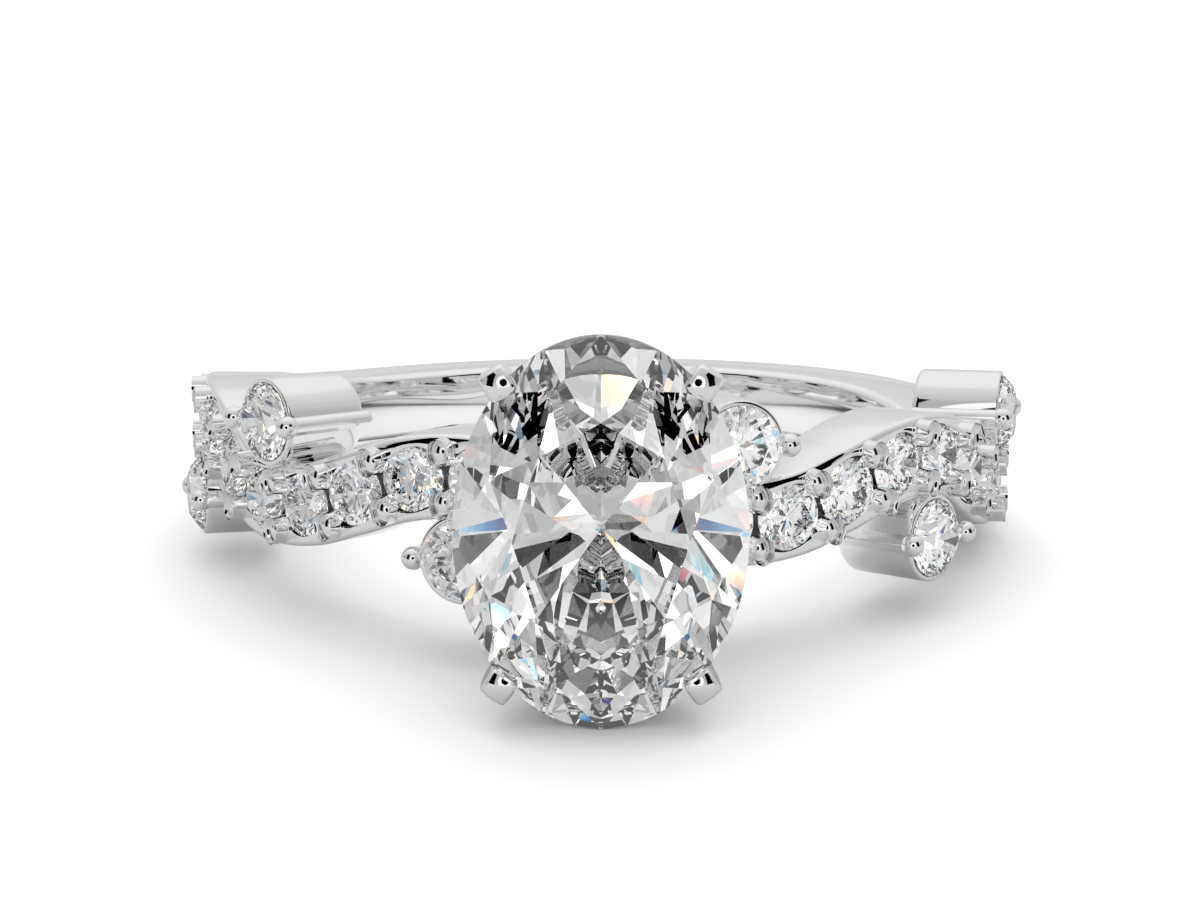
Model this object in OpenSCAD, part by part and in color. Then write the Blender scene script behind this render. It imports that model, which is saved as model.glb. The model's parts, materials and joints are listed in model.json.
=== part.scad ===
// Ring with one vine-like strand of round stones, six cupped side stones and an oval centre stone.
// The finger's axis is Z and the centre stone faces -Y, before the whole ring is tipped to the way it
// lies. Angles run round the finger from the centre stone, positive to the right. The left half is the
// right half turned half round the stone's own axis.

/* [Finger] */
// Inner diameter, a common ladies' size
finger_d = 16.5; // [15:0.1:18.5]

/* [Strand] */
// Radial thickness of the strand where stones are set
strand_wall = 2.15; // [1.9:0.05:2.6]
// Width of the strand, square to its run
strand_w = 2; // [1.8:0.05:2.3]
// Height of the widest swing of the strand off the middle of the finger
wave_h = 0.86; // [0.7:0.02:1]
// Radial thickness of the plain band at the back
back_wall = 2.05; // [1.6:0.05:2.4]
// Width of the plain band at the back
back_w = 1.84; // [1.5:0.05:2.4]
// Width of the bevel that eases both inner edges
comfort_bevel = 0.15; // [0.05:0.01:0.3]

/* [Row of small stones] */
// Diameter of the small stones
pave_d = 1.58; // [1.3:0.02:1.62]
// Space between neighbouring small stones along the strand
pave_gap = 0.14; // [0.1:0.01:0.3]
// Distance from the centre of the ring's front to the first small stone, along the strand
pave_start = 2.85; // [2.6:0.05:3.2]
// Small stones on each side of the centre stone
pave_count = 9; // [6:1:9]
// Depth of the small stones' girdles under the strand's face
pave_sink = 0.05; // [0:0.01:0.12]
// Diameter of the beads that hold the small stones
bead_d = 0.54; // [0.4:0.02:0.6]
// Distance of each row of beads from the middle of the strand
bead_offset = 0.56; // [0.5:0.02:0.65]

/* [Cupped side stones] */
// Diameter of the cupped stones
bud_d = 1.9; // [1.6:0.05:2]
// Wall of the cup round its stone
bud_wall = 0.12; // [0.08:0.01:0.2]
// Height of the cup's rim over the strand's face
bud_rise = 0.2; // [0:0.01:0.3]
// Height of the cupped stones' girdles over the cup's rim
bud_lift = 0.06; // [0:0.01:0.1]
// Distance of the cups' inner ends from the finger hole's wall
cup_foot = 0.2; // [0.1:0.02:0.4]
// Diameter of the two rods that run up the side of each cup
rod_d = 0.44; // [0.36:0.02:0.5]
// Diameter of the bead that ends each rod
rod_bead_d = 0.56; // [0.5:0.02:0.6]

/* [Centre stone] */
// Width of the oval stone
oval_w = 6.4; // [5.5:0.1:7.2]
// Length of the oval stone
oval_l = 8.6; // [7.6:0.1:9.4]
// Height of the oval stone over its girdle
oval_crown = 0.9; // [0.8:0.05:1.2]
// Depth of the oval stone under its girdle
oval_pavilion = 2.65; // [2.3:0.05:2.9]
// Thickness of the oval stone's girdle
oval_girdle = 0.26; // [0.2:0.01:0.32]
// Height of the oval's girdle over the strand's face
head_h = 3.5; // [3.4:0.1:4.4]

/* [Claws and rails] */
// Thickness of the four claws
claw_d = 0.76; // [0.6:0.02:0.9]
// Height of the claws' tips over the girdle
claw_rise = 0.5; // [0.4:0.05:0.7]
// Diameter of the wire of the two rails
rail_d = 0.72; // [0.5:0.02:0.84]
// Depth of the base rail in the strand's face
rail_sink = 0.14; // [0.1:0.02:0.3]
// Distance from the girdle down to the upper rail
gallery_drop = 1.45; // [1.3:0.05:1.8]

/* [Fit] */
// Clearance between each stone and its seat
seat_gap = 0.03; // [0.02:0.005:0.05]

/* [Hidden] */
SIDES = ["right", "left"];
// Each row is a cupped stone: its angle round the finger, the side of the strand that it sits on, and
// how deep its cup sinks in the strand's side wall, as a share of bud_d
BUDS = [[17.5, 1, 0.116], [49.6, -1, 0.035], [76, 1, 0.1]];
// Each row is a place on the strand's middle line: its angle round the finger, and its height off the
// finger's middle as a share of wave_h
WAVE = [[0, 0], [9, -0.36], [18, -0.63], [26, -0.48], [34, 0.03], [42, 0.52], [50, 0.68], [56, 0.46],
    [62, -0.1], [68, -0.66], [75, -0.96], [84, -1], [94, -0.8], [108, -0.4], [124, -0.1], [142, 0],
    [180, 0]];

finger_r = finger_d / 2;
strand_r = finger_r + strand_wall;
back_r = finger_r + back_wall;
pave_pitch = pave_d + pave_gap;
pave_r = strand_r - pave_sink;
cup_r = bud_d / 2 + bud_wall;
cup_rim_r = strand_r + bud_rise;
bud_girdle_r = cup_rim_r + bud_lift;
oval_r = strand_r + head_h;

// Angles between which the set strand turns into the plain band, and the steps of the two stretches
blend_from_angle = 100;
blend_to_angle = 138;
front_step_angle = 2.5;
back_step_angle = 6;
front_end_angle = 110;
// Depth of the rough strand under the finger hole's wall, which the hole then cuts away, and how far
// over that wall the inner bevel starts
bore_cover = back_wall / 5;
bevel_rise = comfort_bevel * 4 / 3;
// Length of the hole's cutter, which runs past everything at both sides
bore_cut = 4 * (strand_w + bud_d);
// Half of the angle over which the strand's direction is taken
heading_step = 0.5;
// Share of a bead's radius that its middle lies under the strand's face, and of a rod's bead over the rim
bead_sink_share = 0.3;
rod_bead_lift_share = 0.5;
// Share of its radius by which a rod's middle lies outside its stone's edge
rod_out_share = 0.9;

// Proportions of the brilliant cut, as shares of the girdle's radius: the table's corners, the tips of
// the star facets and the upper tips of the lower girdle facets
table_share = 0.57;
star_share = 0.76;
lower_share = 0.24;
oval_table_share = 0.59;
oval_star_share = 0.8;
oval_lower_share = 0.2;
// Heights of a round stone as shares of its diameter
round_crown = 0.15;
round_pavilion = 0.43;
round_girdle = 0.03;

// Angle of the claws on the oval, and their middle line as shares of the oval's outline, at the base
// rail and at the girdle
claw_angle = 48.1;
claw_base_share = 0.42;
claw_top_share = 1.03;
// Height under the girdle where a claw turns upright, and how much fuller the ball in its bend is
claw_bend = 0.6 * claw_d;
claw_ball = 1.01;
rail_steps = 40;
rail_sides = 8;
fn_round = 48;
fn_bore = 160;

base_rail_h = strand_r + rail_d / 2 - rail_sink;
gallery_h = oval_r - gallery_drop;
bend_h = oval_r - claw_bend;

// Tilt at which the oval's lower end and the back of the band touch one flat surface
rest_tilt = atan((oval_l - back_w) / 2 / (oval_r - oval_girdle + back_r));

function mix(a, b, t) = a + (b - a) * t;
function smooth(t) = let (u = min(1, max(0, t))) u * u * (3 - 2 * u);

// Middle line of the strand: height at an angle, by a smooth curve through the rows of WAVE
function wave_row(a) = min(len(WAVE) - 2, len([for (r = WAVE) if (r[0] <= a) 1]) - 1);
function wave_rate(i) =
    i == 0 ? WAVE[1][1] / WAVE[1][0] :
    i == len(WAVE) - 1 ? 0 :
    (WAVE[i + 1][1] - WAVE[i - 1][1]) / (WAVE[i + 1][0] - WAVE[i - 1][0]);
function wave_share(a) =
    let (i = wave_row(a), w = WAVE[i + 1][0] - WAVE[i][0], t = (a - WAVE[i][0]) / w,
        s = t * t * (3 - 2 * t), m0 = wave_rate(i) * w, m1 = wave_rate(i + 1) * w)
    mix(WAVE[i][1], WAVE[i + 1][1], s) + m0 * t * (1 - t) * (1 - t) - m1 * t * t * (1 - t);
function wave(a) = a < 0 ? -wave(-a) : wave_h * wave_share(a);
function arc_mm(a) = a * PI / 180 * strand_r;
// Direction of the strand at an angle, as degrees off the plane of the finger hole
function heading(a) = atan2(wave(a + heading_step) - wave(a - heading_step), arc_mm(2 * heading_step));

// Length along the strand from the front, and the angle at a given length
RUN = [for (i = 0, s = 0; i <= front_end_angle; s = s + norm([arc_mm(1), wave(i + 1) - wave(i)]), i = i + 1)
    [s, i]];
function angle_at(s) = s < 0 ? -lookup(-s, RUN) : lookup(s, RUN);

// Places a piece on the ring's side: its own Z points out of the ring and its own Y up
module on_ring(a, r, h) {
    rotate([0, 0, a]) translate([0, -r, h]) rotate([90, 0, 0]) children();
}
module on_side(side) {
    rotate([0, side == "left" ? 180 : 0, 0]) children();
}
module as_it_lies() {
    rotate([-rest_tilt, 0, 0]) children();
}

// One cross-section of the strand: six corners from the inner lower one round to the inner upper one
function section(a) =
    let (t = smooth((abs(a) - blend_from_angle) / (blend_to_angle - blend_from_angle)),
        half = mix(strand_w, back_w, t) / 2 / cos(heading(a)),
        slant = comfort_bevel * (bore_cover + bevel_rise) / bevel_rise,
        r_in = finger_r - bore_cover, r_edge = finger_r + bevel_rise,
        r_out = mix(strand_r, back_r, t), h = wave(a))
    [for (p = [[r_in, h - half + slant], [r_edge, h - half], [r_out, h - half],
        [r_out, h + half], [r_edge, h + half], [r_in, h + half - slant]])
        [p[0] * sin(a), -p[0] * cos(a), p[1]]];

// Skin of a closed loop of sections, as triangles
function loop_faces(n, m) =
    [for (i = [0:n - 1]) for (j = [0:m - 1])
        let (i2 = (i + 1) % n, j2 = (j + 1) % m)
        each [[i * m + j, i * m + j2, i2 * m + j2], [i * m + j, i2 * m + j2, i2 * m + j]]];

module strand_blank() {
    angles = concat([for (a = [-front_end_angle:front_step_angle:front_end_angle - 1]) a],
        [for (a = [front_end_angle:back_step_angle:359 - front_end_angle]) a]);
    points = [for (a = angles) each section(a > 180 ? a - 360 : a)];
    polyhedron(points, loop_faces(len(angles), 6));
}

// Oval wire loop about the centre stone's axis, at a height over the ring's centre
module rail(h, half_x, half_y, wire_r) {
    points = [for (i = [0:rail_steps - 1]) for (j = [0:rail_sides - 1])
        let (a = 360 * i / rail_steps, b = 360 * (j + 0.5) / rail_sides,
            n = [half_y * cos(a), half_x * sin(a)], o = n / norm(n) * wire_r * cos(b))
        [half_x * cos(a) + o[0], half_y * sin(a) + o[1], h + wire_r * sin(b)]];
    polyhedron(points, loop_faces(rail_steps, rail_sides));
}

// Share of the oval's outline that the claws stand on at a height
function claw_share(h) =
    mix(claw_base_share, claw_top_share, min(1, (h - base_rail_h) / (bend_h - base_rail_h)));
function claw_point(h) =
    [claw_share(h) * oval_w / 2 * cos(claw_angle), claw_share(h) * oval_l / 2 * sin(claw_angle), h];

module bar(from, to, r) {
    d = to - from;
    translate(from) rotate([0, acos(d[2] / norm(d)), atan2(d[1], d[0])])
        cylinder(h = norm(d), r = r, $fn = fn_round);
}

module claw() {
    low = claw_point(base_rail_h);
    bend = claw_point(bend_h);
    tip = [bend[0], bend[1], oval_r + claw_rise - claw_d / 2];
    bar(low, bend, claw_d / 2);
    translate(bend) sphere(r = claw_ball * claw_d / 2, $fn = fn_round);
    bar(bend, tip, claw_d / 2);
    translate(tip) sphere(r = claw_ball * claw_d / 2, $fn = fn_round);
}

// The head is built with the stone's axis up, and then laid towards the front of the ring
module head() {
    rotate([90, 0, 0]) {
        for (h = [base_rail_h, gallery_h])
            rail(h, claw_share(h) * oval_w / 2, claw_share(h) * oval_l / 2, rail_d / 2);
        for (x = [0, 1]) for (y = [0, 1]) mirror([x, 0, 0]) mirror([0, y, 0]) claw();
    }
}

// Height of a cupped stone's middle: its cup leans on the strand's side wall
function bud_height(bud) =
    wave(bud[0]) + bud[1] * (strand_w / 2 / cos(heading(bud[0])) + cup_r - bud[2] * bud_d);

module cup(bud) {
    bottom = finger_r + cup_foot;
    rod_x = bud_d / 2 + rod_out_share * rod_d / 2;
    on_ring(bud[0], bottom, bud_height(bud)) {
        cylinder(h = cup_rim_r - bottom, r = cup_r, $fn = fn_round);
        for (x = [-rod_x, rod_x]) translate([x, 0, 0]) {
            top = cup_rim_r - bottom + rod_bead_lift_share * rod_bead_d / 2;
            cylinder(h = top, r = rod_d / 2, $fn = fn_round);
            translate([0, 0, top]) sphere(r = rod_bead_d / 2, $fn = fn_round);
        }
    }
}

module bead(j, row) {
    a = angle_at(pave_start + (j - 1.5) * pave_pitch);
    turn = heading(a);
    shift = -row * bead_offset * sin(turn) / arc_mm(1);
    out = strand_r - bead_sink_share * bead_d / 2;
    on_ring(a + shift, out, wave(a) + row * bead_offset * cos(turn))
        sphere(r = bead_d / 2, $fn = fn_round);
}

// Space that a round stone and the clearance round it take, open over the table
module round_seat(d) {
    r = d / 2 + seat_gap;
    lip = r * table_share;
    rotate_extrude($fn = fn_round)
        polygon([[0, -(round_girdle + round_pavilion) * d - seat_gap], [r, -round_girdle * d],
            [r, seat_gap], [lip, round_crown * d + seat_gap], [lip, d], [0, d]]);
}

module place_cupped(side, i) {
    bud = BUDS[i - 1];
    on_side(side) on_ring(bud[0], bud_girdle_r, bud_height(bud)) children();
}
module place_small(side, i) {
    a = angle_at(pave_start + (i - 1) * pave_pitch);
    on_side(side) on_ring(a, pave_r, wave(a)) rotate([0, 0, heading(a)]) children();
}
module place_oval() {
    rotate([90, 0, 0]) translate([0, 0, oval_r]) children();
}

// Brilliant cut with 57 facets and a 32-sided girdle, whose upper edge is at height 0 at the mains. The
// girdle's edges dip between those places, because the flat facets over and under it run out there.
// Where turn is 1, the main facets under the girdle stand between those over it.
module brilliant(w, l, crown, girdle, pavilion, table, star, lower, turn) {
    function ring_at(n, start, share, heights) =
        [for (k = [0:n - 1]) let (a = start + 360 / n * k)
            [share * cos(a) * w / 2, share * sin(a) * l / 2, heights[k % len(heights)]]];
    half_step = 22.5;
    chord = cos(half_step / 2);
    // heights where the star tips and the lower girdle facets' tips lie in the planes of the mains
    star_h = crown * (1 - star * cos(half_step)) / (1 - table);
    lower_h = pavilion * (1 - lower * cos(half_step));
    dip_up = star_h * (1 - chord) / chord / (1 - star);
    dip_low = lower_h * (1 - chord) / chord / (1 - lower);
    points = concat(ring_at(8, 0, table, [crown]), ring_at(8, half_step, star, [star_h]),
        ring_at(32, 0, 1, [0, -dip_up]), ring_at(32, 0, 1, [-girdle, dip_low - girdle]),
        ring_at(8, half_step * (1 + turn), lower, [-girdle - lower_h]), [[0, 0, -girdle - pavilion]]);
    // first point of the table, the star tips, the girdle's upper and lower edges and the lower tips
    t = 0;
    s = 8;
    g = 16;
    u = 48;
    p = 80;
    culet = 88;
    faces = concat([[for (k = [7:-1:0]) t + k]],
        [for (k = [0:7])
            let (k2 = (k + 1) % 8, k0 = (k + 7) % 8, e = [for (n = [0:4]) (4 * k + n) % 32],
                f = [for (n = e) (n + 2 * turn) % 32]) each [
            [t + k, t + k2, s + k],
            [t + k, s + k, g + e[0], s + k0],
            [s + k, g + e[2], g + e[1], g + e[0]],
            [s + k, g + e[4], g + e[3], g + e[2]],
            [p + k, u + f[0], u + f[1], u + f[2]],
            [p + k, u + f[2], u + f[3], u + f[4]],
            [culet, p + k0, u + f[0], p + k]]],
        [for (k = [0:31]) let (k2 = (k + 1) % 32) [g + k, g + k2, u + k2, u + k]]);
    polyhedron(points, faces);
}

module round_brilliant(d) {
    brilliant(d, d, round_crown * d, round_girdle * d, round_pavilion * d, table_share, star_share,
        lower_share, 0);
}

// The oval, or the space that it and a clearance round it take
module oval_brilliant(gap) {
    brilliant(oval_w + 2 * gap, oval_l + 2 * gap, oval_crown + gap, oval_girdle, oval_pavilion + gap,
        oval_table_share, oval_star_share, oval_lower_share, 1);
}

module mounting() {
    color("gainsboro") as_it_lies() difference() {
        union() {
            strand_blank();
            head();
            for (side = SIDES) on_side(side) {
                for (bud = BUDS) cup(bud);
                for (j = [1:pave_count + 1]) for (row = [-1, 1]) bead(j, row);
            }
        }
        cylinder(h = bore_cut, r = finger_r, center = true, $fn = fn_bore);
        for (side = SIDES) {
            for (i = [1:len(BUDS)]) place_cupped(side, i) round_seat(bud_d);
            for (i = [1:pave_count]) place_small(side, i) round_seat(pave_d);
        }
        place_oval() oval_brilliant(seat_gap);
    }
}

module center_stone() {
    color("white") as_it_lies() place_oval() oval_brilliant(0);
}
module cupped_stone(side, i) {
    color("aliceblue") as_it_lies() place_cupped(side, i) round_brilliant(bud_d);
}
module small_stone(side, i) {
    color("azure") as_it_lies() place_small(side, i) round_brilliant(pave_d);
}

mounting();
center_stone();
for (s = SIDES) for (i = [1:len(BUDS)])
    cupped_stone(s, i);
for (s = SIDES) for (i = [1:pave_count])
    small_stone(s, i);
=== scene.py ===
"""Ring whose shank is one winding strand of small stones, with cupped side stones and an oval centre stone.

Lengths are in metres. Pieces are modelled with the finger's axis along Z and the centre stone towards -Y,
and are then tipped to the way the ring lies. Angles run round the finger from the centre stone, in
degrees, positive to the right.
"""

import json
from math import atan2, cos, degrees, hypot, pi, radians, sin, sqrt

import bmesh
import bpy
from bpy.props import FloatProperty, FloatVectorProperty, IntProperty, PointerProperty
from mathutils import Matrix, Vector


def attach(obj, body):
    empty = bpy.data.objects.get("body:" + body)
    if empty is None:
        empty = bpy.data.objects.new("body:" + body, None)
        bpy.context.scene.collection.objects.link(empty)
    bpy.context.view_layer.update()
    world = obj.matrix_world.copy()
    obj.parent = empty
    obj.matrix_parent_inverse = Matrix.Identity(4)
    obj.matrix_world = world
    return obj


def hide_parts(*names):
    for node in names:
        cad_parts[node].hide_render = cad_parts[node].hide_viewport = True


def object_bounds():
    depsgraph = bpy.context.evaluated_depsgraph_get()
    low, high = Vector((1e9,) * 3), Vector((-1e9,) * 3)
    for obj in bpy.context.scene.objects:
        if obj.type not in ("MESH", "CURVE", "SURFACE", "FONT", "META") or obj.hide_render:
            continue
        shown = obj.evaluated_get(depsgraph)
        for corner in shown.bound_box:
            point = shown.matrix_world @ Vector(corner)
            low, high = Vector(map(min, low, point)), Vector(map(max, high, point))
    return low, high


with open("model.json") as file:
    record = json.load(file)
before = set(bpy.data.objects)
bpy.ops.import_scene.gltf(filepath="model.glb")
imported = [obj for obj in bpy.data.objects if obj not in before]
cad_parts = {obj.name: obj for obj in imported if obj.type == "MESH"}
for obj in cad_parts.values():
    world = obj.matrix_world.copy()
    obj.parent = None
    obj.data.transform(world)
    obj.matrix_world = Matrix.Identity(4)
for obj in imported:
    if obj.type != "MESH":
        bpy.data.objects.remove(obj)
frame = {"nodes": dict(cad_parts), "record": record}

bl_info = {
    "name": "Vine Ring",
    "version": (1, 0, 0),
    "blender": (4, 5, 0),
    "location": "3D View > Sidebar > Ring",
    "description": "Models a ring with a winding strand of stones and an oval centre stone",
    "category": "Mesh",
}

CAD_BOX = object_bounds()
MM = 0.001
BORE = frame["record"]["mounts"][0]
BORE_R = BORE["dims"]["r_mm"] * MM
LEAN = atan2(BORE["axis"][1], BORE["axis"][2])
LIE = Matrix.Rotation(-LEAN, 4, "X")
# The right half of the ring stays as modelled, and the left is the same turned half round
HALVES = (Matrix.Identity(4), Matrix.Rotation(pi, 4, "Y"))

# Each row is a cupped stone: its angle, the side of the strand that it sits on, and how deep its cup
# sinks in the strand's side wall, as a share of the stone's diameter
BUDS = ((17.5, 1, 0.116), (49.6, -1, 0.035), (76, 1, 0.1))
# Each row is a place on the strand's middle line: its angle, and its height as a share of the swing
WAVE = (
    (0, 0), (9, -0.36), (18, -0.63), (26, -0.48), (34, 0.03), (42, 0.52), (50, 0.68), (56, 0.46),
    (62, -0.1), (68, -0.66), (75, -0.96), (84, -1), (94, -0.8), (108, -0.4), (124, -0.1), (142, 0),
    (180, 0),
)
# Angles between which the set strand turns into the plain band
BLEND_FROM, BLEND_TO = 100, 138
# Angle up to which the strand's length is measured
SET_END = 110
# Sections of the strand on its way round the finger
STRAND_STEPS = 1200


def mix(a, b, t):
    return a + (b - a) * t


def smooth(t):
    t = min(1, max(0, t))
    return t * t * (3 - 2 * t)


class StrandLine:
    """Middle line of the strand: its height and direction at an angle, and the angle at a length."""

    def __init__(self, strand):
        self.swing = strand.swing
        self.face_r = BORE_R + strand.wall
        self.run = [0.0]
        for a in range(SET_END):
            step = hypot(self.arc(1), self.height(a + 1) - self.height(a))
            self.run.append(self.run[-1] + step)

    def arc(self, a):
        return radians(a) * self.face_r

    def height(self, a):
        if a < 0:
            return -self.height(-a)
        i = min(len(WAVE) - 2, sum(row[0] <= a for row in WAVE) - 1)
        width = WAVE[i + 1][0] - WAVE[i][0]
        t = (a - WAVE[i][0]) / width
        start, end = self.rate(i) * width, self.rate(i + 1) * width
        share = mix(WAVE[i][1], WAVE[i + 1][1], smooth(t))
        return self.swing * (share + start * t * (1 - t) ** 2 - end * t * t * (1 - t))

    @staticmethod
    def rate(i):
        if i == len(WAVE) - 1:
            return 0
        first = WAVE[i - 1] if i else WAVE[0]
        return (WAVE[i + 1][1] - first[1]) / (WAVE[i + 1][0] - first[0])

    def heading(self, a):
        """Direction of the strand at an angle, in radians off the plane of the finger hole."""
        return atan2(self.height(a + 0.5) - self.height(a - 0.5), self.arc(1))

    def angle_at(self, length):
        if length < 0:
            return -self.angle_at(-length)
        i = max(k for k, run in enumerate(self.run[:-1]) if run <= length)
        return i + (length - self.run[i]) / (self.run[i + 1] - self.run[i])

    def length_at(self, angle):
        i = min(int(abs(angle)), SET_END - 1)
        return mix(self.run[i], self.run[i + 1], abs(angle) - i)


def on_ring(angle, out, height):
    """Places a piece on the ring's side: its own Z points out of the ring and its own Y up."""
    turn = Matrix.Rotation(radians(angle), 4, "Z")
    return turn @ Matrix.Translation((0, -out, height)) @ Matrix.Rotation(pi / 2, 4, "X")


class StrandSizes(bpy.types.PropertyGroup):
    wall: FloatProperty(
        name="Wall", description="Radial thickness of the strand", default=2.15 * MM, unit="LENGTH")
    width: FloatProperty(
        name="Width", description="Width of the strand, square to its run", default=2.0 * MM,
        unit="LENGTH")
    swing: FloatProperty(
        name="Swing", description="Height of the widest swing off the middle of the finger",
        default=0.86 * MM, unit="LENGTH")
    back_wall: FloatProperty(
        name="Back wall", description="Radial thickness of the plain band", default=2.05 * MM,
        unit="LENGTH")
    back_width: FloatProperty(
        name="Back width", description="Width of the plain band", default=1.84 * MM, unit="LENGTH")
    bevel: FloatProperty(
        name="Inner bevel", description="Width of the bevel along both inner edges",
        default=0.15 * MM, unit="LENGTH")
    edge: FloatProperty(
        name="Edge", description="Rounding of the outer edges", default=0.14 * MM, unit="LENGTH")
    channel: FloatProperty(
        name="Channel", description="Depth of the channel under the stones", default=0.85 * MM,
        unit="LENGTH")
    slot: FloatProperty(
        name="Slot", description="Half the width of the channel between two stones",
        default=0.6 * MM, unit="LENGTH")
    undercut: FloatProperty(
        name="Undercut", description="Height of the lip that the strand's face keeps over the channel",
        default=0.05 * MM, unit="LENGTH")
    # Below this depth the channel's walls are rougher and painted dark as shade
    polished: FloatProperty(
        name="Polished depth", description="Depth to which the channel's walls are polished",
        default=0.3 * MM, unit="LENGTH")


class RowSizes(bpy.types.PropertyGroup):
    stone: FloatProperty(
        name="Stone", description="Diameter of the small stones", default=1.58 * MM, unit="LENGTH")
    gap: FloatProperty(
        name="Gap", description="Space between neighbouring small stones", default=0.14 * MM,
        unit="LENGTH")
    start: FloatProperty(
        name="Start", description="Distance along the strand to the first small stone",
        default=2.85 * MM, unit="LENGTH")
    count: IntProperty(name="Count", description="Small stones on each side", default=9)
    seat_gap: FloatProperty(
        name="Seat gap", description="Space between a small stone and its seat",
        default=0.012 * MM, unit="LENGTH")
    bead: FloatVectorProperty(
        name="Bead", description="Size of the beads beside the small stones along, across and out of "
        "the strand", default=(0.57 * MM, 0.7 * MM, 0.56 * MM), subtype="XYZ", unit="LENGTH")
    bead_offset: FloatProperty(
        name="Bead offset", description="Distance of the beads from the strand's middle",
        default=0.59 * MM, unit="LENGTH")
    bead_rise: FloatProperty(
        name="Bead rise", description="Height of the beads' widest place over the strand",
        default=0.03 * MM, unit="LENGTH")


class CupSizes(bpy.types.PropertyGroup):
    stone: FloatProperty(
        name="Stone", description="Diameter of the cupped stones", default=1.9 * MM, unit="LENGTH")
    wall: FloatProperty(
        name="Wall", description="Wall of the cup round its stone", default=0.12 * MM,
        unit="LENGTH")
    rise: FloatProperty(
        name="Rise", description="Height of the rim over the strand", default=0.2 * MM,
        unit="LENGTH")
    foot: FloatProperty(
        name="Foot", description="Distance of the cup's inner end from the finger hole's wall",
        default=0.2 * MM, unit="LENGTH")
    foot_edge: FloatProperty(
        name="Foot edge", description="Rounding of the cup's inner end", default=0.2 * MM,
        unit="LENGTH")
    rod: FloatProperty(
        name="Rod", description="Diameter of the rods beside the cup", default=0.44 * MM,
        unit="LENGTH")
    rod_bead: FloatProperty(
        name="Rod bead", description="Diameter of the bead that ends each rod", default=0.56 * MM,
        unit="LENGTH")


class HeadSizes(bpy.types.PropertyGroup):
    oval_w: FloatProperty(
        name="Stone width", description="Width of the oval stone", default=6.4 * MM, unit="LENGTH")
    oval_l: FloatProperty(
        name="Stone length", description="Length of the oval stone", default=8.6 * MM,
        unit="LENGTH")
    crown: FloatProperty(
        name="Crown", description="Height of the oval stone over its girdle", default=0.9 * MM,
        unit="LENGTH")
    pavilion: FloatProperty(
        name="Pavilion", description="Depth of the oval stone under its girdle",
        default=2.65 * MM, unit="LENGTH")
    girdle: FloatProperty(
        name="Girdle", description="Thickness of the oval stone's girdle", default=0.26 * MM,
        unit="LENGTH")
    height: FloatProperty(
        name="Height", description="Height of the oval's girdle over the strand",
        default=3.5 * MM, unit="LENGTH")
    claw: FloatProperty(
        name="Claw", description="Width of the square claws", default=0.66 * MM, unit="LENGTH")
    claw_dome: FloatProperty(
        name="Claw dome", description="Radius of the claws' domed ends", default=0.68 * MM,
        unit="LENGTH")
    claw_shift: FloatProperty(
        name="Claw shift", description="Distance of each dome's top from its claw's middle, towards the "
        "stone's middle", default=0.13 * MM, unit="LENGTH")
    claw_bevel: FloatProperty(
        name="Claw bevel", description="Width of the bevel round each dome", default=0.09 * MM,
        unit="LENGTH")
    claw_rise: FloatProperty(
        name="Claw rise", description="Height of the claws' tips over the girdle",
        default=0.5 * MM, unit="LENGTH")
    rail: FloatProperty(
        name="Rail", description="Diameter of the rails' wire", default=0.72 * MM, unit="LENGTH")
    rail_sink: FloatProperty(
        name="Rail sink", description="Depth of the base rail in the strand", default=0.14 * MM,
        unit="LENGTH")
    gallery_drop: FloatProperty(
        name="Gallery drop", description="Distance from the girdle down to the upper rail",
        default=1.45 * MM, unit="LENGTH")


class FinishColours(bpy.types.PropertyGroup):
    metal: FloatVectorProperty(
        name="Metal", description="Colour of the polished white gold",
        default=(0.93, 0.93, 0.935), subtype="COLOR")
    # The recess colour is painted shade: the metal deep between and under the stones is darkened where shade
    # falls, besides being rougher
    recess_shade: FloatVectorProperty(
        name="Recess", description="Colour of the unpolished metal between the stones",
        default=(0.12, 0.12, 0.125), subtype="COLOR")


class StageSizes(bpy.types.PropertyGroup):
    distance: FloatProperty(
        name="Camera distance", description="Distance from the finger hole's middle",
        default=70 * MM, unit="LENGTH")
    elevation: FloatProperty(
        name="Camera elevation", description="Angle of the view over the plane of the ring",
        default=radians(8.6), subtype="ANGLE")
    lens: FloatProperty(
        name="Lens", description="Focal length in millimetres, on a 36 mm sensor", default=78.6)
    aim: FloatVectorProperty(
        name="Aim", description="Middle of the picture, right of and above the hole's middle",
        default=(-0.024 * MM, -0.335 * MM), size=2, subtype="TRANSLATION", unit="LENGTH")
    floor: FloatVectorProperty(
        name="Floor", description="Colour of the floor", default=(0.93, 0.93, 0.93),
        subtype="COLOR")
    floor_r: FloatProperty(
        name="Floor radius", description="Radius of the floor", default=0.8, unit="LENGTH")


def outline(corners, roundings, segments=4):
    """A bmesh with a closed outline in the plane of -Y and Z, whose corners are (out, height) pairs."""
    bm = bmesh.new()
    verts = [bm.verts.new((0, -out, height)) for out, height in corners]
    bm.faces.new(verts)
    for radius in sorted(set(roundings) - {0}):
        rounded = [v for v, r in zip(verts, roundings) if r == radius]
        bmesh.ops.bevel(
            bm, geom=rounded, offset=radius, offset_type="OFFSET", segments=segments, profile=0.5,
            affect="VERTICES", material=-1)
    bmesh.ops.delete(bm, geom=bm.faces[:], context="FACES_ONLY")
    return bm


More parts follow.
